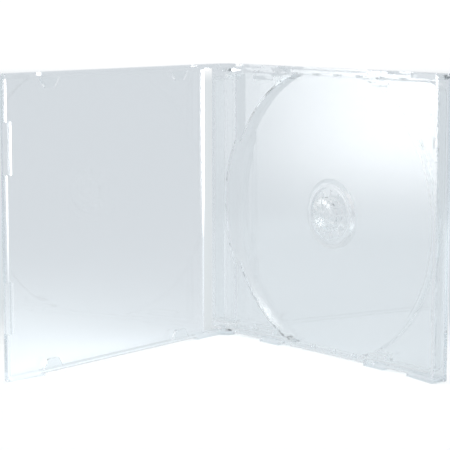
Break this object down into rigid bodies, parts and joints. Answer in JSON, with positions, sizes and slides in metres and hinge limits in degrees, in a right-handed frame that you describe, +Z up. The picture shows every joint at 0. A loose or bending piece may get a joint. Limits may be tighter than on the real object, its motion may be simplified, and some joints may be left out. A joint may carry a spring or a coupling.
{
  "type": "disc jewel case",
  "caption": "Clear hinged disc case standing open: front cover with booklet tabs, back cover with two spines, and a clipped-in tray with a disc well and sprung hub.",
  "frame": {"origin": "centre of the bounding box's underside, on the surface that the open case stands on", "axes": "+Z up along the hinge, +Y square to the back cover and out through its outside face, +X along the back cover from the hinge spine to the opening edge"},
  "size_m": [0.142, 0.1386, 0.125],
  "materials": {
    "back_cover_polystyrene": "clear polished polystyrene",
    "tray_polystyrene": "clear polished polystyrene",
    "front_cover_polystyrene": "clear polished polystyrene"
  },
  "bodies": {
    "base": {"back_cover": "back_cover_polystyrene", "disc_tray": "tray_polystyrene"},
    "lid": {"front_cover": "front_cover_polystyrene"}
  },
  "joints": [
    {"name": "lid_hinge", "type": "hinge", "parent": "base", "child": "lid", "pos_m": [-0.0642, 0.06434, 0.0625], "axis": [0, 0, -1], "range_deg": [-79, 101]}
  ]
}
